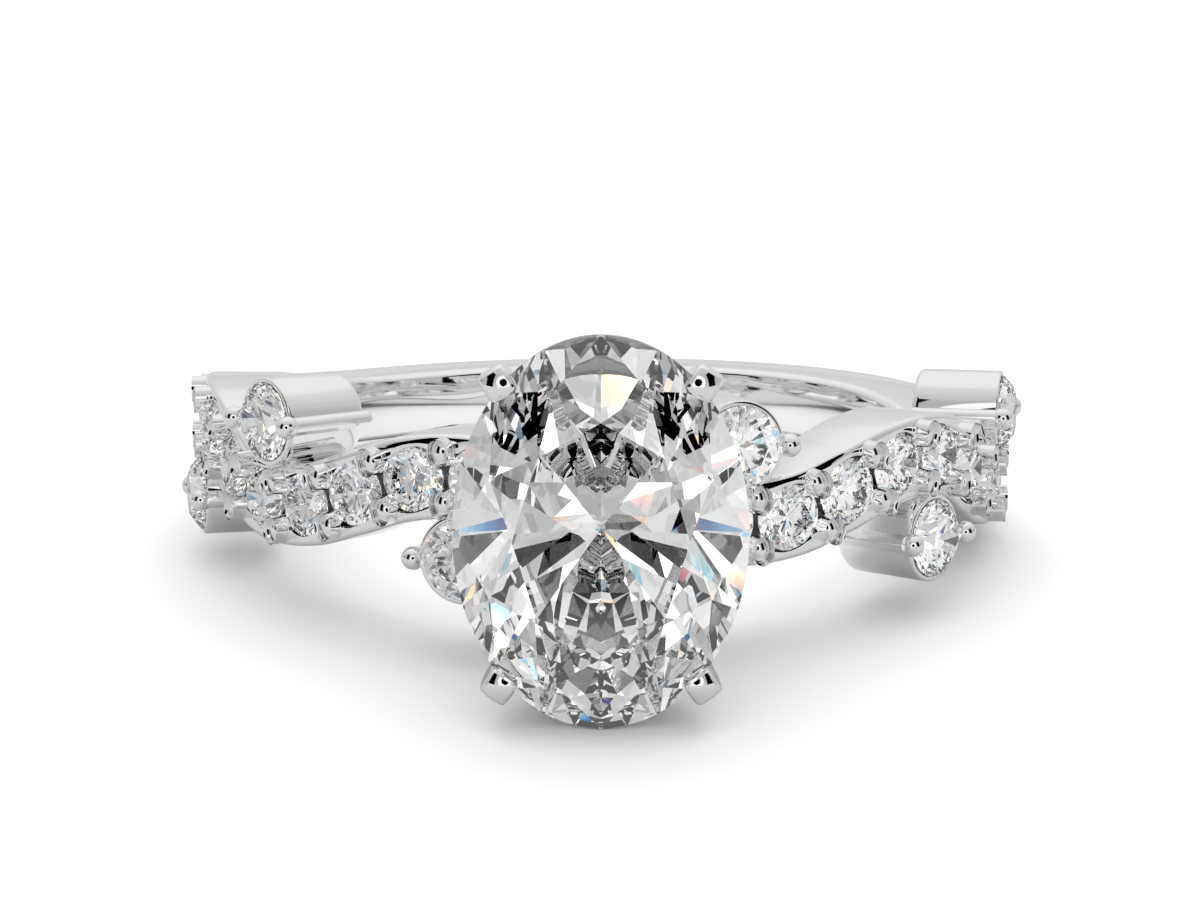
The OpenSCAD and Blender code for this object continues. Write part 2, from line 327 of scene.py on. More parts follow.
def turned(corners, roundings, steps=64, segments=4):
    """A solid turned about Z from an outline whose first and last corners are on the axis."""
    bm = outline(corners, roundings, segments)
    tiny = 1e-9
    on_axis = [e for e in bm.edges if all(abs(v.co.y) < tiny for v in e.verts)]
    bmesh.ops.delete(bm, geom=on_axis, context="EDGES")
    bmesh.ops.spin(
        bm, geom=bm.verts[:] + bm.edges[:], cent=(0, 0, 0), axis=(0, 0, 1), angle=2 * pi,
        steps=steps, use_merge=True)
    bmesh.ops.remove_doubles(bm, verts=bm.verts, dist=0.0005 * MM)
    return bm


def add(bm, part, matrix=None):
    """Moves part by matrix and adds it to bm."""
    if matrix is not None:
        part.transform(matrix)
    bmesh.ops.recalc_face_normals(part, faces=part.faces)
    carrier = bpy.data.meshes.new("carrier")
    part.to_mesh(carrier)
    part.free()
    bm.from_mesh(carrier)
    bpy.data.meshes.remove(carrier)


def sweep(bm, edges, places):
    """Pulls a loop of edges along places, a list of matrices that starts where the loop is."""
    for before, after in zip(places, places[1:]):
        pulled = bmesh.ops.extrude_edge_only(bm, edges=edges)["geom"]
        verts = [g for g in pulled if isinstance(g, bmesh.types.BMVert)]
        ends = set(verts)
        edges = [g for g in pulled if isinstance(g, bmesh.types.BMEdge) and ends.issuperset(g.verts)]
        bmesh.ops.transform(bm, matrix=after @ before.inverted(), verts=verts)
    return edges


# Angle from which an edge of the metal looks sharp, in degrees
SHARP_FROM = 32


def finish_piece(bm, name, materials, replaced=(), cut=False):
    """Makes bm an object that rides on the ring and lies as the ring does. A cut stone has flat facets."""
    bm.transform(LIE)
    mesh = bpy.data.meshes.new(name)
    bm.to_mesh(mesh)
    bm.free()
    for material in materials:
        mesh.materials.append(material)
    if cut:
        mesh.shade_flat()
    else:
        mesh.shade_smooth()
        mesh.set_sharp_from_angle(angle=radians(SHARP_FROM))
    piece = bpy.data.objects.new(name, mesh)
    bpy.context.scene.collection.objects.link(piece)
    if not cut:
        shade = piece.modifiers.new("even_shading", "WEIGHTED_NORMAL")
        shade.keep_sharp = True
    # The metal doesn't show through the stones, so they let through the studio's light alone
    piece.visible_transmission = cut
    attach(piece, "root")
    if replaced:
        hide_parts(*replaced)


def nodes_of(material):
    material.use_nodes = True
    tree = material.node_tree
    return tree, tree.nodes, tree.links, tree.nodes["Principled BSDF"]


# Scales of the noise by which the metal's tone and polish drift, and of its polishing marks
DRIFT_SCALE, MARKS_SCALE = 350, 9000
DIAMOND_IOR = 2.417


def metal(name, colour, rough, uneven):
    """Cast metal: its tone and its polish drift a little over the surface, with fine polishing marks."""
    found = bpy.data.materials.get(name)
    if found:
        return found
    material = bpy.data.materials.new(name)
    _, nodes, links, shader = nodes_of(material)
    place = nodes.new("ShaderNodeTexCoord")
    drift = nodes.new("ShaderNodeTexNoise")
    drift.inputs["Scale"].default_value = DRIFT_SCALE
    drift.inputs["Detail"].default_value = 2
    links.new(place.outputs["Object"], drift.inputs["Vector"])
    tone = nodes.new("ShaderNodeMix")
    tone.data_type = "RGBA"
    tone.inputs["A"].default_value = (*(0.985 * c for c in colour), 1)
    tone.inputs["B"].default_value = (*colour, 1)
    links.new(drift.outputs["Fac"], tone.inputs["Factor"])
    links.new(tone.outputs["Result"], shader.inputs["Base Color"])
    polish = nodes.new("ShaderNodeMapRange")
    polish.inputs["From Min"].default_value = 0.3
    polish.inputs["From Max"].default_value = 0.7
    polish.inputs["To Min"].default_value = rough
    polish.inputs["To Max"].default_value = rough * 1.8
    links.new(drift.outputs["Fac"], polish.inputs["Value"])
    links.new(polish.outputs["Result"], shader.inputs["Roughness"])
    marks = nodes.new("ShaderNodeTexNoise")
    marks.inputs["Scale"].default_value = MARKS_SCALE
    marks.inputs["Detail"].default_value = 3
    links.new(place.outputs["Object"], marks.inputs["Vector"])
    bump = nodes.new("ShaderNodeBump")
    bump.inputs["Strength"].default_value = uneven
    bump.inputs["Distance"].default_value = 0.002 * MM
    links.new(marks.outputs["Fac"], bump.inputs["Height"])
    links.new(bump.outputs["Normal"], shader.inputs["Normal"])
    shader.inputs["Metallic"].default_value = 1
    return material


def polished_gold():
    return metal("polished_white_gold", bpy.context.scene.ring_finish.metal, rough=0.03, uneven=0.03)


# Rougher metal deep in the channel and in the cup hollows, with its colour darkened as painted shade
def shaded_recess_gold():
    return metal("recess_white_gold_painted_shade", bpy.context.scene.ring_finish.recess_shade, rough=0.18, uneven=0.4)


def cut_diamond():
    """Polished diamond, with a faint cool cloud in it."""
    name = "cut_diamond"
    found = bpy.data.materials.get(name)
    if found:
        return found
    material = bpy.data.materials.new(name)
    _, nodes, links, shader = nodes_of(material)
    place = nodes.new("ShaderNodeTexCoord")
    cloud = nodes.new("ShaderNodeTexNoise")
    cloud.inputs["Scale"].default_value = 500
    links.new(place.outputs["Object"], cloud.inputs["Vector"])
    tint = nodes.new("ShaderNodeMix")
    tint.data_type = "RGBA"
    tint.inputs["A"].default_value = (0.985, 0.99, 1, 1)
    tint.inputs["B"].default_value = (1, 1, 1, 1)
    links.new(cloud.outputs["Fac"], tint.inputs["Factor"])
    links.new(tint.outputs["Result"], shader.inputs["Base Color"])
    shader.inputs["Roughness"].default_value = 0
    shader.inputs["IOR"].default_value = DIAMOND_IOR
    shader.inputs["Transmission Weight"].default_value = 1
    return material


def ground_girdle():
    """Diamond as it is ground round the girdle, a little rough."""
    name = "ground_diamond"
    found = bpy.data.materials.get(name)
    if found:
        return found
    material = bpy.data.materials.new(name)
    _, nodes, links, shader = nodes_of(material)
    place = nodes.new("ShaderNodeTexCoord")
    grain = nodes.new("ShaderNodeTexNoise")
    grain.inputs["Scale"].default_value = 40000
    links.new(place.outputs["Object"], grain.inputs["Vector"])
    rough = nodes.new("ShaderNodeMapRange")
    rough.inputs["To Min"].default_value = 0.15
    rough.inputs["To Max"].default_value = 0.35
    links.new(grain.outputs["Fac"], rough.inputs["Value"])
    links.new(rough.outputs["Result"], shader.inputs["Roughness"])
    shader.inputs["Base Color"].default_value = (0.97, 0.98, 1, 1)
    shader.inputs["IOR"].default_value = DIAMOND_IOR
    shader.inputs["Transmission Weight"].default_value = 1
    return material


def row_angles(line, row):
    """Angles of the small stones on the right half."""
    pitch = row.stone + row.gap
    return [line.angle_at(row.start + k * pitch) for k in range(row.count)]


def bud_height(line, strand, cups, bud):
    """Height of a cupped stone's middle."""
    angle, side, sink = bud
    reach = strand.width / 2 / cos(line.heading(angle)) + cups.stone / 2 + cups.wall
    return line.height(angle) + side * (reach - sink * cups.stone)


class RING_OT_strand(bpy.types.Operator):
    """Model the strand with its channel for the small stones, and the plain band behind"""

    bl_idname = "ring.strand"
    bl_label = "Strand"

    def execute(self, context):
        scene = context.scene
        strand, row = scene.ring_strand, scene.ring_row
        line = StrandLine(strand)
        half, floor_r = strand.width / 2, line.face_r - strand.channel
        seat = row.stone / 2 + row.seat_gap
        lip_edge = 0.94 * seat
        # Each row is a corner of the lower half of the section: its distance out, its height and its rounding
        lower = [
            (BORE_R, strand.bevel - half, 0.04 * MM), (BORE_R + strand.bevel, -half, 0.1 * MM),
            (line.face_r, -half, strand.edge), (line.face_r, -lip_edge, 0.012 * MM),
            (line.face_r - strand.undercut, -seat, 0), (line.face_r - strand.polished, -seat, 0),
            (floor_r, -seat, 0),
        ]
        corners = lower + [(out, -height, rounding) for out, height, rounding in reversed(lower)]
        bm = outline([c[:2] for c in corners], [c[2] for c in corners], segments=3)
        bmesh.ops.spin(
            bm, geom=bm.verts[:] + bm.edges[:], cent=(0, 0, 0), axis=(0, 0, 1), angle=2 * pi,
            steps=STRAND_STEPS, use_merge=True)
        # Depth past which the channel is left unpolished and is painted dark as shade
        deep = strand.polished - 0.01 * MM
        painted_shade_verts = []
        for v in bm.verts:
            angle = degrees(atan2(v.co.x, -v.co.y))
            out, height = hypot(v.co.x, v.co.y), v.co.z
            plain = smooth((abs(angle) - BLEND_FROM) / (BLEND_TO - BLEND_FROM))
            face = BORE_R + mix(strand.wall, strand.back_wall, plain)
            new_out = BORE_R + (out - BORE_R) * (face - BORE_R) / strand.wall
            # The channel's walls follow the seats of the stones and the slots between them
            in_channel = abs(height) <= seat + strand.edge / 5 and out > BORE_R + strand.bevel
            if in_channel:
                lip, cut = slot_at(line.length_at(angle), strand, row, seat)
                height *= lip / seat
                new_out = mix(face, new_out, cut)
                if face - new_out > deep:
                    painted_shade_verts.append(v)
            spread = mix(strand.width, strand.back_width, plain) / strand.width
            new_height = line.height(angle) + height * spread / cos(line.heading(angle))
            v.co = (new_out * sin(radians(angle)), -new_out * cos(radians(angle)), new_height)
        painted_shade_verts = set(painted_shade_verts)
        # Faces deep in the channel get the rougher metal darkened as painted shade
        for f in bm.faces:
            f.material_index = int(all(v in painted_shade_verts for v in f.verts))
        bmesh.ops.recalc_face_normals(bm, faces=bm.faces)
        finish_piece(
            bm, "strand", [polished_gold(), shaded_recess_gold()], ["mounting"])
        return {"FINISHED"}


def slot_at(length, strand, row, seat):
    """Half the width of the channel at a length along the strand, and the share of its depth there."""
    pitch = row.stone + row.gap
    place = abs(length) - row.start
    k = min(row.count - 1, max(0, round(place / pitch)))
    off = abs(place - k * pitch)
    between = -pitch / 2 < place < (row.count - 0.5) * pitch
    round_part = sqrt(max(0, seat ** 2 - off ** 2))
    if between:
        return max(round_part, strand.slot), 1
    run_out = 0.04 * MM
    return max(round_part, run_out), smooth((seat + run_out - off) / run_out)


class RING_OT_beads(bpy.types.Operator):
    """Model the two rows of beads that hold the small stones"""

    bl_idname = "ring.beads"
    bl_label = "Beads"

    def execute(self, context):
        scene = context.scene
        strand, row = scene.ring_strand, scene.ring_row
        line = StrandLine(strand)
        pitch = row.stone + row.gap
        # The beads stand on posts that are sunk in the channel's floor
        sunk, post_share = 0.1 * MM, 0.98
        foot = line.face_r - strand.channel - sunk
        middle = line.face_r + row.bead_rise
        bm = bmesh.new()
        for j in range(row.count + 1):
            angle = line.angle_at(row.start + (j - 0.5) * pitch)
            turn = line.heading(angle)
            for side in (-1, 1):
                place_angle = angle + degrees(-side * row.bead_offset * sin(turn) / line.face_r)
                height = line.height(angle) + side * row.bead_offset * cos(turn)
                for half in HALVES:
                    post = bmesh.new()
                    bmesh.ops.create_cone(
                        post, segments=28, radius1=post_share, radius2=post_share, depth=1,
                        matrix=Matrix.Translation((0, 0, -0.5)) @ Matrix.Diagonal(
                            (1, 1, 2 * (middle - foot) / row.bead[2], 1)))
                    bmesh.ops.create_uvsphere(post, u_segments=28, v_segments=16, radius=1)
                    post.transform(Matrix.Diagonal((*(size / 2 for size in row.bead), 1)))
                    place = half @ on_ring(place_angle, middle, height)
                    add(bm, post, place @ Matrix.Rotation(turn, 4, "Z"))
        finish_piece(bm, "beads", [polished_gold()])
        return {"FINISHED"}


# Roundings of the cups' rims and of the rods' inner ends
CUP_EDGE, ROD_EDGE = 0.06 * MM, 0.12 * MM


class RING_OT_cups(bpy.types.Operator):
    """Model the cups of the side stones, with the two rods beside each"""

    bl_idname = "ring.cups"
    bl_label = "Cups"

    def execute(self, context):
        scene = context.scene
        strand, cups = scene.ring_strand, scene.ring_cups
        line = StrandLine(strand)
        outer = cups.stone / 2 + cups.wall
        rim = line.face_r + cups.rise
        gap = 0.01 * MM
        inner = cups.stone / 2 + gap
        hollow_end = rim - 0.45 * cups.stone
        foot = BORE_R + cups.foot
        bm = bmesh.new()
        for bud in BUDS:
            for half in HALVES:
                place = half @ on_ring(bud[0], 0, bud_height(line, strand, cups, bud))
                cup = turned(
                    [(0, foot), (outer, foot), (outer, rim), (inner, rim),
                     (0.3 * inner, hollow_end), (0, hollow_end)],
                    [0, cups.foot_edge, CUP_EDGE, CUP_EDGE / 4, 0, 0])
                # The hollow under the stone is left unpolished and is painted dark as shade
                for f in cup.faces:
                    middle = f.calc_center_median()
                    f.material_index = int(
                        hypot(middle.x, middle.y) < 0.94 * inner and middle.z > hollow_end - 0.1 * MM)
                saddle(cup, rim)
                add(bm, cup, place)
                for side in (-1, 1):
                    across = side * (cups.stone / 2 + 0.9 * cups.rod / 2)
                    rod = turned(
                        [(0, foot), (cups.rod / 2, foot), (cups.rod / 2, rim), (0, rim)],
                        [0, ROD_EDGE, 0, 0], steps=32)
                    rod.transform(Matrix.Translation((across, 0, 0)))
                    saddle(rod, rim)
                    add(bm, rod, place)
                    tip = bmesh.new()
                    bmesh.ops.create_uvsphere(
                        tip, u_segments=24, v_segments=14, radius=cups.rod_bead / 2)
                    tip.transform(Matrix.Translation((across, 0, rim + 0.25 * cups.rod_bead)))
                    add(bm, tip, place)
        finish_piece(bm, "cups", [polished_gold(), shaded_recess_gold()])
        return {"FINISHED"}


def saddle(bm, top):
    """Drops the inner end of a piece that stands over the finger hole's wall to the curve of that wall."""
    for v in bm.verts:
        drop = BORE_R - sqrt(BORE_R ** 2 - v.co.x ** 2)
        v.co.z -= drop * (top - v.co.z) / (top - BORE_R)


# Angle of each claw's middle on the oval's outline, in degrees from the oval's width, and the places where
# the claws start and turn upright, as shares of the way out to that outline
CLAW_ANGLE = 48.1
CLAW_BASE, CLAW_TOP = 0.42, 1.03


class RING_OT_head(bpy.types.Operator):
    """Model the four claws and the two rails that carry the centre stone"""

    bl_idname = "ring.head"
    bl_label = "Head"

    def execute(self, context):
        scene = context.scene
        strand, head = scene.ring_strand, scene.ring_head
        face = BORE_R + strand.wall
        girdle = face + head.height
        low = face + head.rail / 2 - head.rail_sink
        bend = girdle - 0.6 * head.claw
        bm = bmesh.new()
        for z in (low, girdle - head.gallery_drop):
            share = mix(CLAW_BASE, CLAW_TOP, min(1, (z - low) / (bend - low)))
            add(bm, rail(share * head.oval_w / 2, share * head.oval_l / 2, z, head.rail / 2))
        for x in (1, -1):
            for y in (1, -1):
                add(bm, claw(head, low, bend, girdle + head.claw_rise), Matrix.Diagonal((x, y, 1, 1)))
        bm.transform(on_ring(0, 0, 0))
        finish_piece(bm, "head", [polished_gold()])
        return {"FINISHED"}


def rail(half_x, half_y, z, wire_r):
    """Oval loop of round wire about Z."""
    bm = bmesh.new()
    mean = (half_x + half_y) / 2
    wire = bmesh.ops.create_circle(
        bm, segments=20, radius=wire_r,
        matrix=Matrix.Translation((mean, 0, 0)) @ Matrix.Rotation(pi / 2, 4, "X"))
    bmesh.ops.spin(
        bm, geom=wire["verts"] + bm.edges[:], cent=(0, 0, 0), axis=(0, 0, 1), angle=2 * pi,
        steps=96, use_merge=True)
    for v in bm.verts:
        turn = atan2(v.co.y, v.co.x)
        off = hypot(v.co.x, v.co.y) - mean
        across = Vector((half_y * cos(turn), half_x * sin(turn), 0)).normalized() * off
        v.co = Vector((half_x * cos(turn), half_y * sin(turn), z + v.co.z)) + across
    return bm


def claw(head, low, bend, top):
    """Square claw of the upper right corner, which leans out from the base rail and turns upright. Its end is
    a dome whose top is nearer to the stone's middle."""
    spot = Vector((cos(radians(CLAW_ANGLE)) * head.oval_w / 2, sin(radians(CLAW_ANGLE)) * head.oval_l / 2, 0))
    outward = spot.normalized()
    size, squareness = head.claw / 2, 7
    turn_from, turn_steps, dome_steps = 0.35 * MM, 6, 8
    bm = bmesh.new()
    ring = bmesh.ops.create_circle(bm, segments=48, radius=size)
    for v in ring["verts"]:
        x, y = v.co.x / size, v.co.y / size
        v.co *= 1 / (abs(x) ** squareness + abs(y) ** squareness) ** (1 / squareness)
    foot, corner = spot * CLAW_BASE + Vector((0, 0, low)), spot * CLAW_TOP + Vector((0, 0, bend))
    lean, upright = (corner - foot).normalized(), Vector((0, 0, 1))
    places = []

    def place(middle, up):
        side = (outward - up * outward.dot(up)).normalized()
        turn = Matrix((side, up.cross(side), up)).transposed().to_4x4()
        places.append(Matrix.Translation(middle) @ turn)

    place(foot, lean)
    before, after = corner - lean * turn_from, corner + upright * turn_from
    for k in range(turn_steps + 1):
        t = k / turn_steps
        place(before.lerp(corner, t).lerp(corner.lerp(after, t), t), lean.lerp(upright, t).normalized())
    bmesh.ops.transform(bm, matrix=places[0], verts=bm.verts)
    first = bm.edges[:]
    bmesh.ops.edgeloop_fill(bm, edges=first)
    edges = sweep(bm, first, places)
    summit = Vector((corner.x - head.claw_shift, corner.y - head.claw_shift / 3, top))
    for k in range(dome_steps):
        pulled = bmesh.ops.extrude_edge_only(bm, edges=edges)["geom"]
        verts = [g for g in pulled if isinstance(g, bmesh.types.BMVert)]
        edges = [g for g in pulled if isinstance(g, bmesh.types.BMEdge) and all(v in verts for v in g.verts)]
        for v in verts:
            off = (v.co - summit).to_2d() * (1 - 1 / (dome_steps - k) if k else 1)
            off = off if off.length > 1e-9 else Vector((0, 0))
            drop = head.claw_dome - sqrt(head.claw_dome ** 2 - off.length ** 2)
            v.co = (summit.x + off.x, summit.y + off.y, top - drop)
        if k == 0:
            brink = edges
    bmesh.ops.remove_doubles(bm, verts=verts, dist=0.001 * MM)
    bmesh.ops.bevel(
        bm, geom=[e for e in brink if e.is_valid], offset=head.claw_bevel, offset_type="OFFSET", segments=3,
        profile=0.5, affect="EDGES", material=-1)
    return bm


# Heights of a cut as seen from its girdle, and places across it as shares of its radius
TABLE_SHARE, STAR_SHARE, LOWER_SHARE = 0.59, 0.8, 0.2


def brilliant(width, length, crown, girdle, pavilion, sides):
    """Brilliant cut from a disc by one plane for each facet. The table faces +Z, the girdle's upper edge is
    at height 0, and the eight main facets below stand between those above."""
    unit = width / 2
    up, thick, down = crown / unit, girdle / unit, pavilion / unit
    bm = bmesh.new()
    bmesh.ops.create_cone(
        bm, cap_ends=True, segments=sides, radius1=1, radius2=1, depth=up + thick + down,
        matrix=Matrix.Translation((0, 0, (up - thick - down) / 2)))
    mains = 8
    half_step = pi / mains
    star_z = up * (1 - STAR_SHARE * cos(half_step)) / (1 - TABLE_SHARE)
    lower_z = -thick - down * (1 - LOWER_SHARE * cos(half_step))

    def point(turn, out, z):
        return Vector((out * cos(turn), out * sin(turn), z))

    def facet(a, b, c):
        """Cuts away what is outside the plane through three points."""
        normal = (b - a).cross(c - a).normalized()
        if normal.dot(a - Vector((0, 0, -thick / 2))) < 0:
            normal.negate()
        cut = bmesh.ops.bisect_plane(
            bm, geom=bm.verts[:] + bm.edges[:] + bm.faces[:], dist=1e-6, plane_co=a, plane_no=normal,
            clear_outer=True)
        rim = [g for g in cut["geom_cut"] if isinstance(g, bmesh.types.BMEdge)]
        if rim:
            bmesh.ops.edgeloop_fill(bm, edges=rim)

    for k in range(mains):
        turn = k * 2 * half_step
        between, after = turn + half_step, turn + 2 * half_step
        top, edge = point(turn, TABLE_SHARE, up), point(turn, 1, 0)
        facet(top, edge, edge + Vector((-sin(turn), cos(turn), 0)))
        star = point(between, STAR_SHARE, star_z)
        facet(top, point(after, TABLE_SHARE, up), star)
        culet, edge = point(0, 0, -thick - down), point(between, 1, -thick)
        facet(culet, edge, edge + Vector((-sin(between), cos(between), 0)))
        lower = point(turn, LOWER_SHARE, lower_z)
        for near in (turn, after):
            facet(star, point(near, 1, 0), point(between, 1, 0))
        for near in (turn - half_step, between):
            facet(lower, point(near, 1, -thick), point(turn, 1, -thick))
    bmesh.ops.recalc_face_normals(bm, faces=bm.faces)
    for f in bm.faces:
        upright = abs(f.normal.z) < 0.05
        f.material_index = int(upright)
    bm.transform(Matrix.Diagonal((unit, length / 2, unit, 1)))
    return bm


class RING_OT_stones(bpy.types.Operator):
    """Cut the oval stone and give every stone its finish"""

    bl_idname = "ring.stones"
    bl_label = "Stones"

    def execute(self, context):
        scene = context.scene
        head = scene.ring_head
        oval = brilliant(
            head.oval_w, head.oval_l, head.crown, head.girdle, head.pavilion, sides=96)
        oval.transform(on_ring(0, BORE_R + scene.ring_strand.wall + head.height, 0))
        finish_piece(
            oval, "oval_stone", [cut_diamond(), ground_girdle()],
            ["center_stone"], cut=True)
        for name, node in frame["nodes"].items():
            if name.endswith("mounting") or name == "center_stone":
                continue
            for material_slot in node.material_slots:
                material_slot.material = cut_diamond()
        return {"FINISHED"}


class RING_OT_stage(bpy.types.Operator):
    """Set up the floor, the light and the camera"""

    bl_idname = "ring.stage"
    bl_label = "Stage"

    def execute(self, context):
        scene = context.scene
        stage = scene.ring_stage
        add_floor(stage)
        add_camera(scene, stage)
        add_light(scene)
        scene.view_settings.view_transform = "Standard"
        # Light turns inside the stones by glossy bounces, and a facet that needs more than these is black
        scene.cycles.max_bounces = 13
        scene.cycles.transmission_bounces = 12
        scene.cycles.glossy_bounces = 10
        scene.cycles.diffuse_bounces = 3
        scene.cycles.sample_clamp_indirect = 6
        return {"FINISHED"}


# Share of its light that the floor keeps in the metal, inside the ring and outside it, and the distances
# from the ring's middle between which the one turns into the other
MIRRORED_FLOOR = (0.83, 0.57)
FLOOR_EDGE = (8 * MM, 9 * MM)


def add_floor(stage):
    """Lays the floor, which is darker in the metal. What the stones mirror or let through passes it, to the
    studio's own light."""
    bm = bmesh.new()
    bmesh.ops.create_circle(
        bm, cap_ends=True, segments=96, radius=stage.floor_r,
        matrix=Matrix.Translation((0, 0, CAD_BOX[0].z)))
    mesh = bpy.data.meshes.new("floor")
    bm.to_mesh(mesh)
    bm.free()
    floor = bpy.data.objects.new("floor", mesh)
    bpy.context.scene.collection.objects.link(floor)
    material = bpy.data.materials.new("pale_floor")
    tree, nodes, links, shader = nodes_of(material)
    path = nodes.new("ShaderNodeLightPath")
    off = nodes.new("ShaderNodeVectorMath")
    off.operation = "LENGTH"
    links.new(nodes.new("ShaderNodeTexCoord").outputs["Object"], off.inputs[0])
    lost = ramp(tree, off.outputs["Value"], *FLOOR_EDGE, *(1 - share for share in MIRRORED_FLOOR))
    lost = maths(tree, "MULTIPLY", lost, path.outputs["Is Glossy Ray"])
    tone = blend(tree, lost, (*stage.floor, 1), grey(0))
    links.new(tone, shader.inputs["Base Color"])
    shader.inputs["Roughness"].default_value = 0.9
    shader.inputs["Specular IOR Level"].default_value = 0
    open_floor = nodes.new("ShaderNodeBsdfTransparent")
    either = nodes.new("ShaderNodeMixShader")
    links.new(path.outputs["Is Singular Ray"], either.inputs["Fac"])
    links.new(shader.outputs["BSDF"], either.inputs[1])
    links.new(open_floor.outputs["BSDF"], either.inputs[2])
    links.new(either.outputs["Shader"], nodes["Material Output"].inputs["Surface"])
    mesh.materials.append(material)


def add_camera(scene, stage):
    """Puts the camera before the ring, with the ring's axis upright in the picture."""
    camera = bpy.data.objects.new("camera", bpy.data.cameras.new("camera"))
    scene.collection.objects.link(camera)
    camera.data.lens = stage.lens
    camera.data.sensor_width = 36
    camera.data.clip_start = 1 * MM
    camera.data.clip_end = 10
    rise = stage.elevation + LEAN
    back = Vector((0, -cos(rise), sin(rise)))
    up = Vector((0, sin(rise), cos(rise)))
    aim = Vector((stage.aim[0], 0, 0)) + up * stage.aim[1]
    camera.location = back * stage.distance
    camera.rotation_mode = "QUATERNION"
    camera.rotation_quaternion = (aim - camera.location).to_track_quat("-Z", "Y")
    scene.camera = camera


# Each row is a card in the studio: its azimuth from the camera and its elevation in degrees, half its
# width and half its height as seen from the ring, and its brightness. A round card has no height.
CARDS = (
    (-52, 18, 0.25, 0.5, 0.0),
    (52, 18, 0.25, 0.5, 0.0),
    (0, 16.5, 0.5, 0, 1.05),
    (0, 16.5, 0.26, 0, 0.0),
    (-93, 2, 0.1, 0.12, 0.0),
)
# Brightness of the studio against the height of a direction over the plane that faces the back light
SKY = ((-1, 0.6), (-0.5, 0.6), (0, 0.47), (0.14, 0.47), (0.42, 0.6), (0.62, 0.69), (0.73, 0.725),
       (0.88, 0.88), (1, 0.9))
# Height of that light, behind the ring, in degrees
BACK_LIGHT = 60
# Light that falls on the floor: the height of its middle, behind the ring, in degrees, the cosines of the
# angles from there between which it grows, and its brightness at both
SOFT_BOX = 62
SOFT_BOX_RIM = (0.55, 1)
SOFT_BOX_BRIGHT = (0.98, 2.3)
# How the stones' light changes with a direction's part to the right, upwards and to the back: between which
# parts, and its share at both. At the back it turns into an even light of its own.
SIDE_SHADE = (-0.5, 0.4, 0.5, 1)
LOW_SHADE = (-0.85, -0.55, 0.85, 1)
BACK_SHADE = (-0.2, 0.3, 0, 1)
BEHIND_STONES = 0.68
# Each row is a round card whose light only the stones let through: its azimuth and elevation from the
# centre stone's axis and its radius, in degrees, its brightness, and how far its rim is spread to colours
STONE_CARDS = (
    (-24, -20, 9, 0.12, 0.15),
    (-36, 0, 7, 0.2, 0.15),
    (-52, 12, 7, 0.15, 0.15),
    (-17, 31, 7, 0.12, 0.2),
    (14, -31, 9.5, 2, 0.4),
    (-4, -33, 6, 1.9, 0.3),
    (0, 21, 9, 0, 0.3),
    (5, 37, 6.5, 0, 0.4),
    (-8, 41, 4.5, 1.8, 0.3),
    (9, 9, 3.2, 1.8, 0.3),
    (-35, 43, 10, 1.8, 0.4),
    (-12, 66, 9, 1.9, 0.3),
    (43, 49, 13, 1.9, 0.4),
    (66, 8, 9, 1.8, 0.4),
    (-75, 30, 9, 1.7, 0.3),
    (99, -13, 11, 0, 0.15),
    (-99, -13, 11, 0, 0.15),
    (-115, 8, 8, 0, 0.15),
    (158, -7, 9, 0, 0.15),
    (-158, -7, 9, 0, 0.15),
    (159, 43, 12, 0, 0.15),
    (-157, 38, 13, 0, 0.15),
    (138, 22, 7, 0, 0.2),
    (-138, 22, 7, 0, 0.2),
    (40, -3, 5, 0, 0.4),
    (-30, 62, 5, 0.2, 0.15),
    (-41, 33, 4, 0, 0.3),
    (50, -19, 4, 0, 0.3),
    (120, -45, 14, 1.8, 0.4),
    (-60, -50, 10, 1.6, 0.3),
    (180, 15, 8, 1.8, 0.3),
)
# Half the width of those cards' rims, in degrees
CARD_SOFT = 0.7
# Radius of the dark card round the lens, which the stones' faces mirror, and half the width of its rim, in
# degrees
LENS_CARD, LENS_SOFT = 21, 1


def grey(bright):
    return (bright, bright, bright, 1)


def toward(azimuth, elevation):
    """Direction in the studio, in degrees off the camera's side and off the floor."""
    a, e = radians(azimuth), radians(elevation)
    return Vector((sin(a) * cos(e), -cos(a) * cos(e), sin(e)))


def along(tree, direction, axis):
    """Part of a direction along an axis."""
    node = tree.nodes.new("ShaderNodeVectorMath")
    node.operation = "DOT_PRODUCT"
    tree.links.new(direction, node.inputs[0])
    node.inputs[1].default_value = axis
    return node.outputs["Value"]


def ramp(tree, value, start, end, low, high):
    """Eases from low to high while a value runs from start to end. Three of each make three channels."""
    node = tree.nodes.new("ShaderNodeMapRange")
    node.interpolation_type = "SMOOTHSTEP"
    if not isinstance(start, (int, float)):
        node.data_type = "FLOAT_VECTOR"
        low, high = (low,) * 3, (high,) * 3
    for name, number in zip(("From Min", "From Max", "To Min", "To Max"), (start, end, low, high)):
        socket = [s for s in node.inputs if s.enabled and s.name == name][0]
        socket.default_value = number
    tree.links.new(value, [s for s in node.inputs if s.enabled][0])
    return [s for s in node.outputs if s.enabled][0]


def maths(tree, operation, a, b=None):
    node = tree.nodes.new("ShaderNodeMath")
    node.operation = operation
    for socket, value in zip(node.inputs, (a, b)):
        if isinstance(value, (int, float)):
            socket.default_value = value
        elif value is not None:
            tree.links.new(value, socket)
    return node.outputs["Value"]


def blend(tree, share, first, second, channels=False):
    """Mixes two colours by a share, or by a share for each channel."""
    node = tree.nodes.new("ShaderNodeMix")
    node.data_type = "VECTOR" if channels else "RGBA"
    if channels:
        node.factor_mode = "NON_UNIFORM"
    for name, value in (("Factor", share), ("A", first), ("B", second)):
        socket = [s for s in node.inputs if s.enabled and s.name == name][0]
        if isinstance(value, bpy.types.NodeSocket):
            tree.links.new(value, socket)
        else:
            socket.default_value = value[:3] if channels else value
    return [s for s in node.outputs if s.enabled][0]


